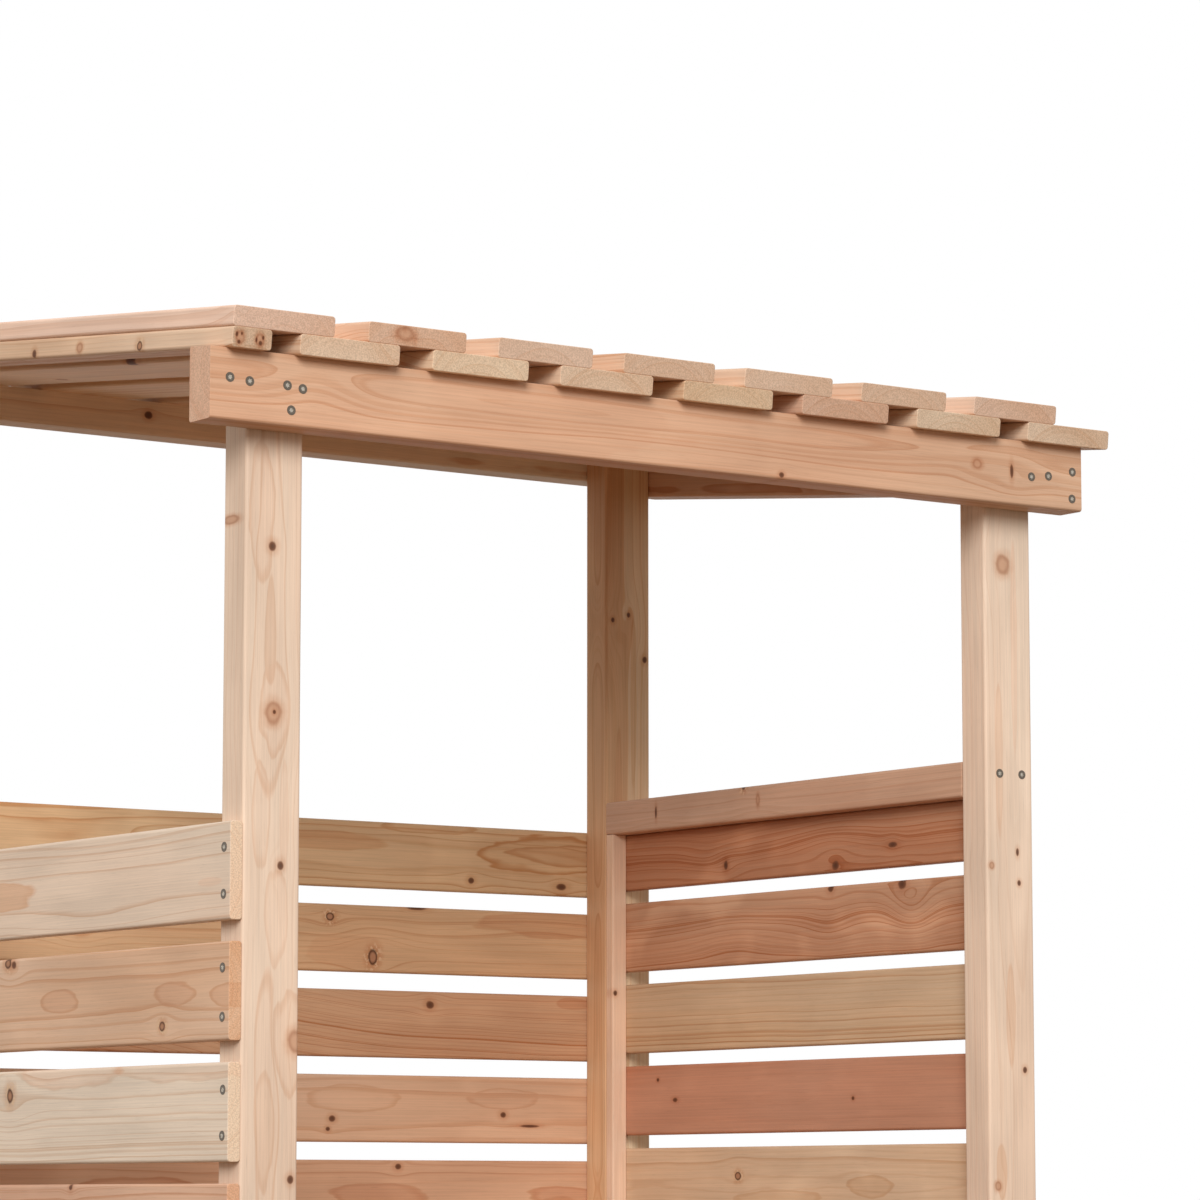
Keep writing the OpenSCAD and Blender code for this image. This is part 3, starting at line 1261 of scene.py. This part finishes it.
@dataclass
class LeftWall(SlatWall):
    """The left wall, on the outside of the posts."""

    node: str = "left_wall_slats"
    gap: float = 22 * MM
    tones: tuple[Tone, ...] = (
        replace(CREAM, red=0.08, light=1.05, offset=4.0, depth=56.0, contrast=0.6, wave=0.3, ring=6.5),
        replace(SALMON, red=0.49, warm=0.0, offset=-4.0, depth=57.0, contrast=0.65, wave=0.45, ring=5.2),
        replace(CREAM, red=-0.18, light=1.08, offset=-30.0, depth=46.0, wave=0.4, ring=5.0),
        replace(SALMON, red=0.54, light=1.04, depth=60.0, offset=12.0), replace(CREAM, offset=24.0),
        replace(TAN, offset=-10.0), replace(SALMON, offset=12.0), replace(CREAM, red=0.16, offset=-18.0),
        replace(TAN, red=0.4, offset=4.0),
    )
    finish: WoodFinish = WoodFinish(
        "left slat timber", Axis.Y, Axis.X, end_tint=(0.98, 0.89, 0.80),
        knots=on_face(
            Knot, Axis.X, 0,
            (137, 928, 5.0, RING), (480, 1008, 6.0, RING), (466, 1006, 4.0), (471, 861, 8.5, RING, 0.85),
            (330, 760, 3.0), (250, 691, 6.0, PALE), (610, 580, 7.0, RING), (180, 461, 5.0, PALE),
            (540, 338, 6.0), (690, 1081, 5.0), (330, 90, 6.0, PALE),
        ),
        swells=on_face(
            Swell, Axis.X, 0,
            (240, 1129, 200, 16, 6.0), (290, 1044, 160, 16, -6.0), (650, 955, 90, 16, -7.0),
        ),
        patches=on_face(
            Patch, Axis.X, 0,
            (520, 1082, 100, 18, 0.34, 0.2), (40, 1076, 26, 5, 0.14, 0.0), (360, 962, 43, 13, 0.14, 0.4),
            (113, 961, 44, 13, 0.12, 0.4), (2, 957, 36, 13, 0.14, 0.4), (340, 885, 120, 20, 0.32, 0.3),
            (90, 883, 150, 13, 0.26, 0.3), (640, 844, 110, 15, 0.25, 0.3), (400, 691, 90, 17),
            (660, 459, 80, 16), (260, 338, 120, 15),
        ),
    )


@dataclass
class BackWall(SlatWall):
    """The back wall, on the outside of the posts."""

    node: str = "back_wall_slats"
    gap: float = 22 * MM
    tones: tuple[Tone, ...] = (
        replace(TAN, red=0.44, warm=0.8, depth=-50.0, wave=0.75, contrast=0.9, ring=6.0),
        replace(TAN, red=0.53, warm=0.6, depth=-60.0, offset=72.0, contrast=0.45, wave=0.45),
        replace(
            SALMON, red=0.76, warm=0.3, light=0.92, depth=-52.0,
            offset=-62.0, contrast=1.0, ring=4.0, wave=0.7,
        ),
        replace(TAN, red=0.47, warm=0.0, depth=-58.0, contrast=0.5, ring=7.0),
        replace(SALMON, red=0.60, warm=0.0, depth=-60.0, offset=10.0),
        replace(CREAM, depth=-55.0, offset=-16.0), replace(TAN, depth=-60.0, offset=26.0),
        replace(SALMON, depth=-50.0), replace(TAN, red=0.4, depth=-65.0, offset=-22.0),
        replace(SALMON, depth=-48.0, offset=14.0), replace(CREAM, red=0.2, depth=-60.0),
    )
    finish: WoodFinish = WoodFinish(
        "back slat timber", Axis.X, Axis.Y,
        knots=on_face(
            Knot, Axis.Y, 810,
            (827, 1151, 3.6), (967, 1148, 4.0, SPOT, 1.8), (615, 1098, 5.0, RING),
            (679, 1049, 9.0, RING, 0.72), (744, 1113, 2.5, SPOT, 5.0), (765, 991, 4.2), (620, 847, 3.6),
            (614, 834, 2.4), (877, 854, 3.2), (918, 840, 1.6, SPOT, 8.0), (718, 788, 3.2), (260, 1075, 6.0),
            (180, 860, 5.0, PALE), (420, 640, 7.0, RING), (900, 540, 6.0, PALE), (330, 330, 5.0),
            (780, 225, 6.0, PALE),
        ),
        swells=on_face(
            Swell, Axis.Y, 810,
            (930, 1090, 100, 18, -7.0), (300, 966, 300, 60, 45.0), (240, 1180, 120, 18, 7.0),
        ),
        patches=on_face(
            Patch, Axis.Y, 810,
            (965, 1188, 126, 25, 0.05, 0.95), (985, 1188, 90, 14, 0.08, 0.7), (600, 1194, 100, 13, 0.22, 0.1),
            (760, 1216, 70, 9, 0.05, 0.6), (965, 1098, 122, 17, 0.22, 0.2), (650, 872, 70, 17, 0.02, 0.35),
            (880, 874, 55, 14, 0.04, 0.35), (690, 752, 70, 15, 0.14, 0.4), (975, 752, 60, 11, 0.2, 0.5),
            (640, 1055, 60, 22, 0.1, 0.0), (985, 998, 30, 8, 0.12, 0.1), (250, 980, 110, 16),
            (340, 760, 90, 14), (800, 430, 120, 15),
        ),
    )


@dataclass
class RightWall(SlatWall):
    """The right wall, on the battens between the posts; its top slat is ripped narrower."""

    node: str = "right_wall_slats"
    gap: float = 16.5 * MM
    first_height: float = 72 * MM
    tones: tuple[Tone, ...] = (
        replace(RED, light=0.88, offset=44.0, depth=45.0),
        replace(RED, red=0.80, light=0.92, offset=-46.0, depth=50.0),
        replace(
            TAN, red=0.42, warm=0.5, light=0.88, offset=-60.0,
            depth=60.0, ring=5.0, contrast=0.85, wave=0.6,
        ),
        replace(SALMON, red=0.88, warm=-0.5, light=0.95, contrast=0.3, depth=70.0),
        replace(TAN, red=0.36, warm=0.4, light=0.96, contrast=0.5, wave=0.7, ring=7.5),
        replace(SALMON, offset=14.0), replace(CREAM, offset=-20.0), replace(TAN, offset=30.0),
        replace(SALMON, red=0.68, offset=-8.0), replace(TAN, offset=-26.0), replace(CREAM, red=0.2),
    )
    finish: WoodFinish = WoodFinish(
        "right slat timber", Axis.Y, Axis.X,
        knots=on_face(
            Knot, Axis.X, 1028,
            (536, 1163, 5.0, SPOT, 0.7), (313, 1150, 5.0), (202, 1169, 3.0, SPOT, 2.5), (323, 1123, 4.0),
            (185, 1121, 5.5), (513, 776, 5.0, RING), (282, 868, 2.0), (682, 898, 2.0),
            (645, 872, 2.4, SPOT, 1.8), (420, 560, 6.0, PALE), (620, 360, 6.0), (240, 240, 5.0, PALE),
        ),
        swells=on_face(
            Swell, Axis.X, 1028,
            (165, 1085, 40, 30, -15.0), (520, 1075, 90, 34, 12.0), (560, 1180, 60, 26, 10.0),
            (330, 1185, 80, 24, -9.0), (330, 1070, 50, 26, -9.0),
        ),
        patches=on_face(
            Patch, Axis.X, 1028,
            (250, 762, 45, 13, 0.1, 0.35), (430, 748, 80, 10, 0.06, 0.35), (330, 640, 100, 15),
            (560, 460, 80, 14),
        ),
    )


@dataclass
class Battens(Assembly):
    """The right wall's upright battens, the front one outside the slats and the back one inside."""

    nodes: tuple[str, ...] = ("right_wall_batten_front", "right_wall_batten_back")
    arris: float = 2.0 * MM
    tone: Tone = replace(SALMON, red=0.38, warm=0.0, light=1.14, depth=40.0, contrast=0.2)
    finish: WoodFinish = WoodFinish(
        "batten timber", Axis.Z, Axis.Y,
        knots=(Knot((1010, 760, 1010), 2.5), Knot((1016, 50, 640), 3.0)),
    )

    def build(self, yard: TimberYard) -> None:
        """Models the battens."""
        for node in self.nodes:
            yard.timber(node, self.finish, self.tone, Slot.SLAT, arris=self.arris)


@dataclass
class Roof(Assembly):
    """Two layers of boards down the slope, and the strip that fills out the lower layer."""

    board_thickness: float = 22 * MM
    # Their light is raised above the wood's own, partly as painted light for the strong light on their sides
    # from the left and above.
    upper_tones: tuple[Tone, ...] = (
        replace(PINK_CREAM, red=0.38, warm=-0.3, light=1.16),
        replace(SALMON, red=0.44, warm=-0.2, light=1.15),
        replace(PINK_CREAM, red=0.38, warm=-0.1, light=1.12), replace(TAN, red=0.38, light=1.1),
        replace(PINK_CREAM, red=0.36, light=1.1), replace(SALMON, red=0.42, warm=0.0, light=1.1),
        replace(PINK_CREAM, red=0.36, warm=-0.2, light=1.12),
    )
    lower_tones: tuple[Tone, ...] = (
        replace(CREAM, red=0.29, warm=0.2, light=1.14), replace(CREAM, red=0.30, warm=0.4, light=1.16),
        replace(TAN, red=0.36, warm=0.2, light=1.12), replace(CREAM, red=0.30, warm=0.45, light=1.1),
        replace(SALMON, red=0.44, light=1.08), replace(CREAM, red=0.30, warm=0.3, light=1.08),
        replace(TAN, red=0.30, warm=0.2, light=1.08),
    )
    strip_tone: Tone = replace(TAN, red=0.40, warm=0.2, depth=40.0)
    finish: WoodFinish = WoodFinish(
        "roof timber", Axis.Y, Axis.Z, knot_depth=150.0, end_tint=(0.77, 0.76, 0.75),
        knots=on_face(
            Knot, Axis.Z, 1700,
            (30, 300, 8.0), (120, 620, 6.0, PALE), (215, 120, 7.0), (390, 480, 8.0), (455, 700, 5.0, PALE),
            (560, 260, 6.0), (705, 560, 7.0), (800, 60, 6.0, PALE), (880, 640, 8.0), (1010, 330, 6.0),
            (1100, 520, 5.0, PALE),
        ) + on_face(
            Knot, Axis.X, -53,
            (135, 1654, 4.5, RING, 1.2, 5.0), (370, 1679, 3.2, SPOT, 1.2, 4.0),
            (267, 1671, 5.0, PALE, 1.2, 5.0),
        ) + on_face(
            Knot, Axis.Y, -58,
            (-44, 1636, 5.0, PALE, 1.2, 6.5), (-48, 1639, 1.5, SPOT, 1.2, 2.6),
            (-42, 1640, 1.1, SPOT, 1.2, 1.6), (-45, 1631, 1.7, SPOT, 1.2, 2.0),
            (-20, 1635, 5.0, PALE, 1.2, 6.5), (-16, 1638, 1.2, SPOT, 1.2, 2.2),
            (-19, 1632, 2.0, SPOT, 1.2, 2.2), (-24, 1635, 1.1, SPOT, 1.2, 2.6),
            (159, 1660, 11.0, PALE, 1.2, 7.0), (172, 1658, 1.6, SPOT, 1.2, 6.0),
            (148, 1661, 1.3, SPOT, 1.2, 5.0), (158, 1666, 1.8, SPOT, 1.2, 2.5),
        ),
    )

    def build(self, yard: TimberYard) -> None:
        """Models the roof.

        Args:
            yard: Where the timber and the finishes come from.
        """
        self.lay(yard, "roof_edge_strip", self.strip_tone)
        for number, (lower, upper) in enumerate(zip(self.lower_tones, self.upper_tones), 1):
            self.lay(yard, f"roof_lower_board_{number}", lower)
            self.lay(yard, f"roof_upper_board_{number}", upper)

    @property
    def lean(self) -> float:
        """How far a board's top face lies in front of its lower face."""
        return self.board_thickness * math.sin(ROOF_SLOPE)

    def lay(self, yard: TimberYard, node: str, tone: Tone) -> None:
        """Models one board, turned to the slope.

        Args:
            yard: Where the timber comes from.
            node: The board's CAD node.
            tone: The board's look.
        """
        low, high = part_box(node)
        length = (high.y - low.y - self.lean) / math.cos(ROOF_SLOPE)
        size = Vector((high.x - low.x, length, self.board_thickness))
        mesh = yard.cut(Vector(), size, self.finish, tone).shape()
        seat = Matrix.Translation((low.x, low.y + self.lean, low.z)) @ Matrix.Rotation(ROOF_SLOPE, 4, "X")
        bmesh.ops.transform(mesh, matrix=seat, verts=mesh.verts)
        yard.piece(node, [mesh], self.finish, Slot.ROOF)


@dataclass
class FloorDeck(Assembly):
    """The raised floor's boards."""

    node: str = "floor_boards"
    width: float = 98 * MM
    tones: tuple[Tone, ...] = (TAN, SALMON, CREAM, TAN, PINK_CREAM, SALMON, TAN, CREAM)
    finish: WoodFinish = WoodFinish(
        "floor timber", Axis.Y, Axis.Z,
        knots=on_face(
            Knot, Axis.Z, 135,
            (130, 300, 7.0), (350, 560, 6.0, PALE), (600, 200, 7.0), (820, 480, 6.0),
        ),
    )

    def spans(self) -> list[float]:
        """Lays the boards out.

        Returns:
            Their left edges.
        """
        low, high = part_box(self.node)
        boards = len(self.tones)
        pitch = (high.x - low.x - self.width) / (boards - 1)
        return [low.x + index * pitch for index in range(boards)]

    def build(self, yard: TimberYard) -> None:
        """Models the floor.

        Args:
            yard: Where the timber and the finishes come from.
        """
        low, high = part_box(self.node)
        boards = []
        for left, tone in zip(self.spans(), self.tones):
            ends = Vector((left, low.y, low.z)), Vector((left + self.width, high.y, high.z))
            boards.append(yard.cut(*ends, self.finish, tone).shape())
        yard.piece(self.node, boards, self.finish, Slot.FLOOR)


@dataclass
class ScrewHead:
    """A countersunk screw head with a lobed recess, proud of the timber by a little."""

    radius: float = 5.6 * MM
    edge: float = 0.45 * MM
    proud: float = 0.5 * MM
    buried: float = 1.2 * MM
    recess: float = 2.9 * MM
    valley: float = 0.72
    wall: float = 0.15 * MM
    floor: float = 0.08 * MM
    lobes: int = 6
    facets: int = 3

    def drive(self, mesh: BMesh, at: Vector, facing: Vector, turn: float) -> None:
        """Adds one head to a mesh.

        Args:
            mesh: The mesh.
            at: A point on the timber's surface.
            facing: The surface's outward normal.
            turn: How the recess is turned.
        """
        recess_layer = mesh.faces.layers.float.get("recess") or mesh.faces.layers.float.new("recess")
        upright = facing.to_track_quat("Z", "Y").to_matrix().to_4x4()
        place = Matrix.Translation(at) @ upright @ Matrix.Rotation(turn, 4, "Z")
        lift = Matrix.Translation((0.0, 0.0, (self.proud - self.buried) / 2))
        head = bmesh.ops.create_cone(
            mesh, cap_ends=True, segments=self.lobes * self.facets, radius1=self.radius,
            radius2=self.radius - self.edge, depth=self.proud + self.buried, matrix=place @ lift,
        )
        normal = place.to_3x3() @ UP
        sides = {side for vert in head["verts"] for side in vert.link_faces}
        for side in sides:
            side.normal_update()
        top = max(sides, key=lambda side: side.calc_center_median().dot(normal))
        bmesh.ops.inset_individual(mesh, faces=[top], thickness=self.radius - self.edge - self.recess)
        centre = top.calc_center_median()
        for index, vert in enumerate(top.verts):
            if index % self.facets:
                vert.co = centre.lerp(vert.co, self.valley)
        walls = bmesh.ops.inset_individual(mesh, faces=[top], thickness=self.wall)["faces"]
        bmesh.ops.translate(mesh, vec=normal * (self.floor - self.proud), verts=top.verts)
        # The recess faces carry the mask where the steel finish paints its highlight.
        for side in (top, *walls):
            side[recess_layer] = 1.0


@dataclass(frozen=True)
class SlatEnd:
    """How a wall's slats are fixed at one end: the screws' distance from it, and the side of their heads."""

    inset: float
    facing: Vector


@dataclass
class ScrewSet(Assembly):
    """The screws of the walls, beams, roof and floor.

    A share is a screw's place in the width of its board, or in the height of its slat from the top. How far
    screws stray, and the front beam's screws, across and up, are in mm.
    """

    walls: dict[str, SlatWall]
    roof: Roof
    deck: FloorDeck
    head: ScrewHead = field(default_factory=ScrewHead)
    finish: SteelFinish = SteelFinish()
    seed: int = 5
    slat_ends: dict[str, tuple[SlatEnd, SlatEnd]] = field(default_factory=lambda: {
        "left": (SlatEnd(12 * MM, LEFT), SlatEnd(22 * MM, LEFT)),
        "back": (SlatEnd(50 * MM, BACK), SlatEnd(35 * MM, BACK)),
        "right": (SlatEnd(7.5 * MM, LEFT), SlatEnd(7.5 * MM, RIGHT)),
    })
    slat_shares: tuple[float, float] = (0.27, 0.75)
    slat_stray: float = 1.5
    roof_shares: tuple[float, float] = (0.24, 0.76)
    roof_stray: float = 3.0
    floor_shares: tuple[float, float] = (0.22, 0.78)
    rail_shares: tuple[float, float] = (0.29, 0.77)
    rail_lift: float = 5 * MM
    front_beam: tuple[tuple[float, float], ...] = (
        (-46, 1596), (-22, 1594), (24, 1594), (43, 1592), (29, 1568), (1044, 1586), (1070, 1589),
        (1107, 1597), (1106, 1565),
    )

    def __post_init__(self) -> None:
        """Seeds the turns and strays."""
        self.chance = random.Random(self.seed)

    def build(self, yard: TimberYard) -> None:
        """Drives the screws.

        Args:
            yard: Where the timber and the finishes come from.
        """
        for name in self.walls:
            self.drive(yard, f"{name}_wall_screws", self.wall_spots(name))
        self.drive(yard, "beam_screws", self.beam_spots())
        self.drive(yard, "rail_screws", self.rail_spots())
        self.drive(yard, "roof_screws", self.roof_spots())
        self.drive(yard, "floor_screws", self.floor_spots())

    def drive(self, yard: TimberYard, name: str, spots: list[Spot]) -> None:
        """Makes one piece of many screws.

        Args:
            yard: Where the finishes are kept.
            name: The piece's name.
            spots: Points on timber and their outward normals.
        """
        mesh = bmesh.new()
        for at, facing in spots:
            self.head.drive(mesh, at, facing, self.chance.uniform(0.0, math.tau))
        bmesh.ops.recalc_face_normals(mesh, faces=mesh.faces)
        yard.place(name, mesh, self.finish, Slot.SCREW)

    def stray(self, reach: float) -> float:
        """A random length up to so many mm either way."""
        return self.chance.uniform(-reach, reach) * MM

    def wall_spots(self, name: str) -> list[Spot]:
        """Two screws at each end of each slat of a wall.

        Args:
            name: The wall.

        Returns:
            Points on the timber and their outward normals.
        """
        wall, ends = self.walls[name], self.slat_ends[name]
        along = wall.finish.along.value
        spots = []
        for low, high in wall.slats():
            for end, away in zip(ends, (low[along] + ends[0].inset, high[along] - ends[1].inset)):
                for share in self.slat_shares:
                    at = Vector([high[axis] if end.facing[axis] > 0 else low[axis] for axis in range(3)])
                    at[along] = away + self.stray(self.slat_stray)
                    at.z = high.z - share * (high.z - low.z) + self.stray(self.slat_stray)
                    spots.append((at, end.facing))
        return spots

    def beam_spots(self) -> list[Spot]:
        """Screws through the beams; the back beam's follow the front one's.

        Returns:
            Points on the timber and their outward normals.
        """
        front, back = (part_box(node) for node in BEAMS)
        spots = []
        for across, up in self.front_beam:
            at = site((across, 0, up))
            spots.append((Vector((at.x, front[0].y, at.z)), FRONT))
            spots.append((Vector((at.x, back[1].y, at.z + back[0].z - front[0].z)), BACK))
        return spots

    def rail_spots(self) -> list[Spot]:
        """Two screws through each right post into the rail's ends.

        Returns:
            Points on the timber and their outward normals.
        """
        low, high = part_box("right_wall_rail")
        front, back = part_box("post_front_right")[0].y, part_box("post_back_right")[1].y
        up = (low.z + high.z) / 2 + self.rail_lift
        spots = []
        for share in self.rail_shares:
            across = low.x + share * (high.x - low.x)
            spots += [(Vector((across, front, up)), FRONT), (Vector((across, back, up)), BACK)]
        return spots

    def roof_spots(self) -> list[Spot]:
        """Two screws through each upper roof board above each beam.

        Returns:
            Points on the timber and their outward normals.
        """
        spots = []
        for number in range(1, len(self.roof.upper_tones) + 1):
            low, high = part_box(f"roof_upper_board_{number}")
            for beam in BEAMS:
                along = sum(corner.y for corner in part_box(beam)) / 2
                up = high.z - (high.y - self.roof.lean - along) * math.tan(ROOF_SLOPE)
                for share in self.roof_shares:
                    across = low.x + share * (high.x - low.x) + self.stray(self.roof_stray)
                    spots.append((Vector((across, along, up)), ROOF_UP))
        return spots

    def floor_spots(self) -> list[Spot]:
        """Two screws through each floor board above each rail.

        Returns:
            Points on the timber and their outward normals.
        """
        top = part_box(self.deck.node)[1].z
        spots = []
        for left in self.deck.spans():
            for rail in FLOOR_RAILS:
                along = sum(corner.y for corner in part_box(rail)) / 2
                for share in self.floor_shares:
                    spots.append((Vector((left + share * self.deck.width, along, top)), UP))
        return spots


@dataclass
class Studio:
    """A pale floor, soft light and the camera.

    The floor fades into the backdrop between the two distances of floor_fade, and bounce_colour is the light
    that it throws back on the store. The key comes from a bearing, a height and a distance.
    """

    eye: Millimetres = (-2584.8, -4296.9, 745.0)
    yaw: float = math.radians(35.28)
    pitch: float = math.radians(7.12)
    lens: float = 144.36
    floor_span: float = 30.0
    floor_fade: Band = (1.2, 5.0)
    floor_colour: Colour = (0.86, 0.855, 0.85)
    floor_mottle: Mottle = Mottle((2.0, 2.0, 2.0), 2.0, (0.3, 0.7, 0.985, 1.0))
    bounce_colour: Colour = (0.19, 0.12, 0.065)
    key_from: tuple[float, float, float] = (math.radians(-35.0), math.radians(24.0), 12.0)
    key_size: float = 6.0
    key_power: float = 1120.0
    sky: float = 0.60

    def build(self) -> None:
        """Sets the stage."""
        bpy.context.scene.view_settings.view_transform = "Standard"
        self.lay_floor()
        self.hang_key()
        self.light_sky()
        self.set_camera()

    def lay_floor(self) -> None:
        """Lays the floor, which bounces less light than it shows and fades into the backdrop."""
        mesh = bmesh.new()
        bmesh.ops.create_grid(mesh, x_segments=1, y_segments=1, size=self.floor_span / 2)
        sheet = NodeSheet(bpy.data.materials.new("studio floor"))
        point = sheet.add("ShaderNodeTexCoord").outputs["Object"]
        seen = sheet.looked_at()
        shown = sheet.vector("SCALE", self.floor_colour, sheet.mottle(point, self.floor_mottle))
        shader = sheet.add("ShaderNodeBsdfDiffuse")
        sheet.feed(shader.inputs["Color"], sheet.mix(seen, self.bounce_colour, shown))
        clear = sheet.add("ShaderNodeBsdfTransparent")
        gone = sheet.times(sheet.band(sheet.vector("LENGTH", point), *self.floor_fade), seen)
        fade = sheet.add("ShaderNodeMixShader")
        for socket, value in zip(fade.inputs, (gone, shader.outputs["BSDF"], clear.outputs["BSDF"])):
            sheet.feed(socket, value)
        data = settle("studio_floor", mesh)
        data.materials.append(sheet.surface(fade.outputs["Shader"]))
        stand("studio_floor", data)

    def hang_key(self) -> None:
        """Hangs the soft key light."""
        bearing, height, distance = self.key_from
        lamp = bpy.data.lights.new("key", "AREA")
        lamp.shape, lamp.size, lamp.energy = "DISK", self.key_size, self.key_power
        level = Vector((math.sin(bearing), -math.cos(bearing), 0.0)) * math.cos(height)
        away = level + UP * math.sin(height)
        light = stand("key", lamp)
        light.location = (CAD_BOX[0] + CAD_BOX[1]) / 2 + away * distance
        light.rotation_euler = away.to_track_quat("Z", "Y").to_euler()

    def light_sky(self) -> None:
        """Lights the store dimly from all round, before a white backdrop."""
        sheet = NodeSheet(bpy.data.worlds.new("studio sky"))
        background = sheet.add("ShaderNodeBackground")
        background.inputs["Color"].default_value = (1.0, 1.0, 1.0, 1.0)
        sheet.feed(background.inputs["Strength"], sheet.band(sheet.looked_at(), 0.0, 1.0, self.sky, 1.0))
        bpy.context.scene.world = sheet.surface(background.outputs["Background"])

    def set_camera(self) -> None:
        """Stands the camera where the photograph was taken."""
        data = bpy.data.cameras.new("camera")
        data.lens = self.lens
        camera = stand("camera", data)
        camera.location = site(self.eye)
        camera.rotation_euler = (math.pi / 2 + self.pitch, 0.0, -self.yaw)
        bpy.context.scene.camera = camera


def main() -> None:
    """Builds the store piece by piece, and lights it."""
    yard = TimberYard(seed=11)
    walls = {"left": LeftWall(), "back": BackWall(), "right": RightWall()}
    roof, deck = Roof(), FloorDeck()
    screws = ScrewSet(walls, roof, deck)
    for assembly in (Posts(), Framing(), *walls.values(), Battens(), roof, deck, screws):
        assembly.build(yard)
    Studio().build()


if __name__ == "__main__":
    logging.basicConfig(level=logging.INFO, format="%(name)s %(message)s")
    main()
